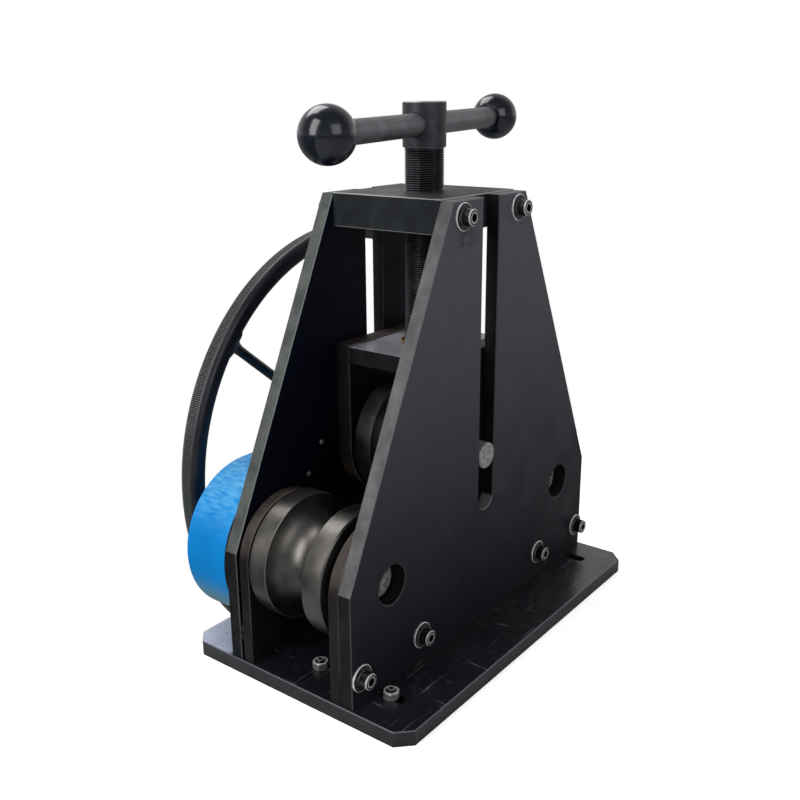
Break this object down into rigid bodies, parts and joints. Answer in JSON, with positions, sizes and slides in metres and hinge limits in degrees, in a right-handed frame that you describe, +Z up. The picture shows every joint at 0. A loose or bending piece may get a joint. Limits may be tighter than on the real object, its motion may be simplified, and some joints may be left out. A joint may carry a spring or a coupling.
{
  "type": "ring roller",
  "caption": "Hand-cranked three-roll bender: two driven grooved rollers, a screw-fed upper roller between tapered side plates, geared handwheel and T-handle.",
  "frame": {"origin": "on the base plate's underside, below the pressure screw", "axes": "+X along the base in the direction the tube travels, +Y along the roller axles towards the gear case and handwheel, +Z up"},
  "size_m": [0.5145, 0.3181, 0.6104],
  "materials": {
    "blackened_plate": "satin black",
    "blackened_base": "semi-gloss black, scratched",
    "worn_steel": "worn and lightly browned",
    "turned_steel": "turned, dark oiled",
    "bright_steel": "bright, lightly rusted",
    "screw_steel": "blackened",
    "washer_steel": "worn bright at the edge",
    "gear_steel": "machined, greased",
    "bronze": "machined bronze",
    "blue_enamel": "gloss blue",
    "handle_steel": "dark grey, turned",
    "bakelite": "polished black",
    "wheel_plastic": "ribbed black moulding",
    "wheel_steel": "satin black"
  },
  "bodies": {
    "frame": {"base_plate": "blackened_base", "near_side_plate": "blackened_plate", "far_side_plate": "blackened_plate", "near_front_bearing_plate": "worn_steel", "near_rear_bearing_plate": "worn_steel", "far_front_bearing_plate": "worn_steel", "far_rear_bearing_plate": "worn_steel", "nut_block": "blackened_plate", "side_plate_screws": "screw_steel", "side_plate_washers": "washer_steel", "foot_spacers": "washer_steel", "base_screws": "screw_steel", "hold_down_studs": "screw_steel", "hold_down_nuts": "screw_steel", "plug_screws": "screw_steel", "roll_shaft_bushes": "bronze", "drive_shaft_bushes": "bronze", "gear_case_back": "blackened_plate", "gear_case_cover": "blue_enamel", "gear_case_pillars": "gear_steel", "gear_case_screws": "screw_steel", "idler_pins": "gear_steel", "idler_clips": "screw_steel"},
    "front_roll": {"front_roll_shaft": "bright_steel", "front_roller": "turned_steel", "front_roll_keys": "gear_steel", "front_roll_gear": "gear_steel", "front_roll_spacers": "gear_steel", "front_roll_end_washer": "screw_steel"},
    "rear_roll": {"rear_roll_shaft": "bright_steel", "rear_roller": "turned_steel", "rear_roll_keys": "gear_steel", "rear_roll_gear": "gear_steel", "rear_roll_spacers": "gear_steel", "rear_roll_end_washer": "screw_steel"},
    "drive": {"drive_shaft": "bright_steel", "drive_pinion": "gear_steel", "drive_keys": "gear_steel", "handwheel_hub": "wheel_steel", "handwheel_end_washer": "screw_steel", "handwheel_rim": "wheel_plastic", "handwheel_core_ring": "wheel_steel", "handwheel_spokes": "wheel_steel"},
    "idler_a": {"idler_gear_a": "gear_steel", "idler_bush_a": "bronze"},
    "idler_b": {"idler_gear_b": "gear_steel", "idler_bush_b": "bronze"},
    "yoke": {"yoke_near_cheek": "blackened_plate", "yoke_far_cheek": "blackened_plate", "yoke_top_plate": "blackened_plate", "yoke_screws": "screw_steel", "pressure_axle": "bright_steel", "roller_thrust_washers": "bronze", "screw_thrust_ring": "bronze"},
    "upper_roll": {"upper_roller": "turned_steel", "upper_roller_bushes": "bronze"},
    "screw": {"pressure_screw": "handle_steel", "screw_collar": "handle_steel", "t_handle_bar": "handle_steel", "t_handle_knobs": "bakelite"}
  },
  "joints": [
    {"name": "drive_spin", "type": "hinge", "parent": "frame", "child": "drive", "pos_m": [0.07285, 0.159, 0.13216], "axis": [0, 1, 0], "continuous": true},
    {"name": "rear_roll_spin", "type": "hinge", "parent": "frame", "child": "rear_roll", "pos_m": [0.1435, 0, 0.107], "axis": [0, 1, 0], "continuous": true},
    {"name": "front_roll_spin", "type": "hinge", "parent": "frame", "child": "front_roll", "pos_m": [-0.1435, 0, 0.107], "axis": [0, 1, 0], "continuous": true},
    {"name": "idler_a_spin", "type": "hinge", "parent": "frame", "child": "idler_a", "pos_m": [-0.06225, 0.094, 0.09267], "axis": [0, 1, 0], "continuous": true},
    {"name": "idler_b_spin", "type": "hinge", "parent": "frame", "child": "idler_b", "pos_m": [0.01206, 0.094, 0.10281], "axis": [0, 1, 0], "continuous": true},
    {"name": "pressure_slide", "type": "slide", "parent": "frame", "child": "yoke", "axis": [0, 0, 1], "range_m": [-0.0375, 0.105]},
    {"name": "screw_turn", "type": "hinge", "parent": "yoke", "child": "screw", "pos_m": [0, 0, 0.3], "axis": [0, 0, 1], "range_deg": [-6760, 18910]},
    {"name": "upper_roll_spin", "type": "hinge", "parent": "yoke", "child": "upper_roll", "pos_m": [0, 0, 0.18], "axis": [0, 1, 0], "continuous": true}
  ],
  "couplings": [
    {"joint": "rear_roll_spin", "follows": "drive_spin", "ratio": -0.66667},
    {"joint": "front_roll_spin", "follows": "drive_spin", "ratio": -0.66667},
    {"joint": "idler_b_spin", "follows": "drive_spin", "ratio": -0.8},
    {"joint": "idler_a_spin", "follows": "drive_spin", "ratio": 0.8},
    {"joint": "screw_turn", "follows": "pressure_slide", "rad_per_m": 3141.6}
  ]
}
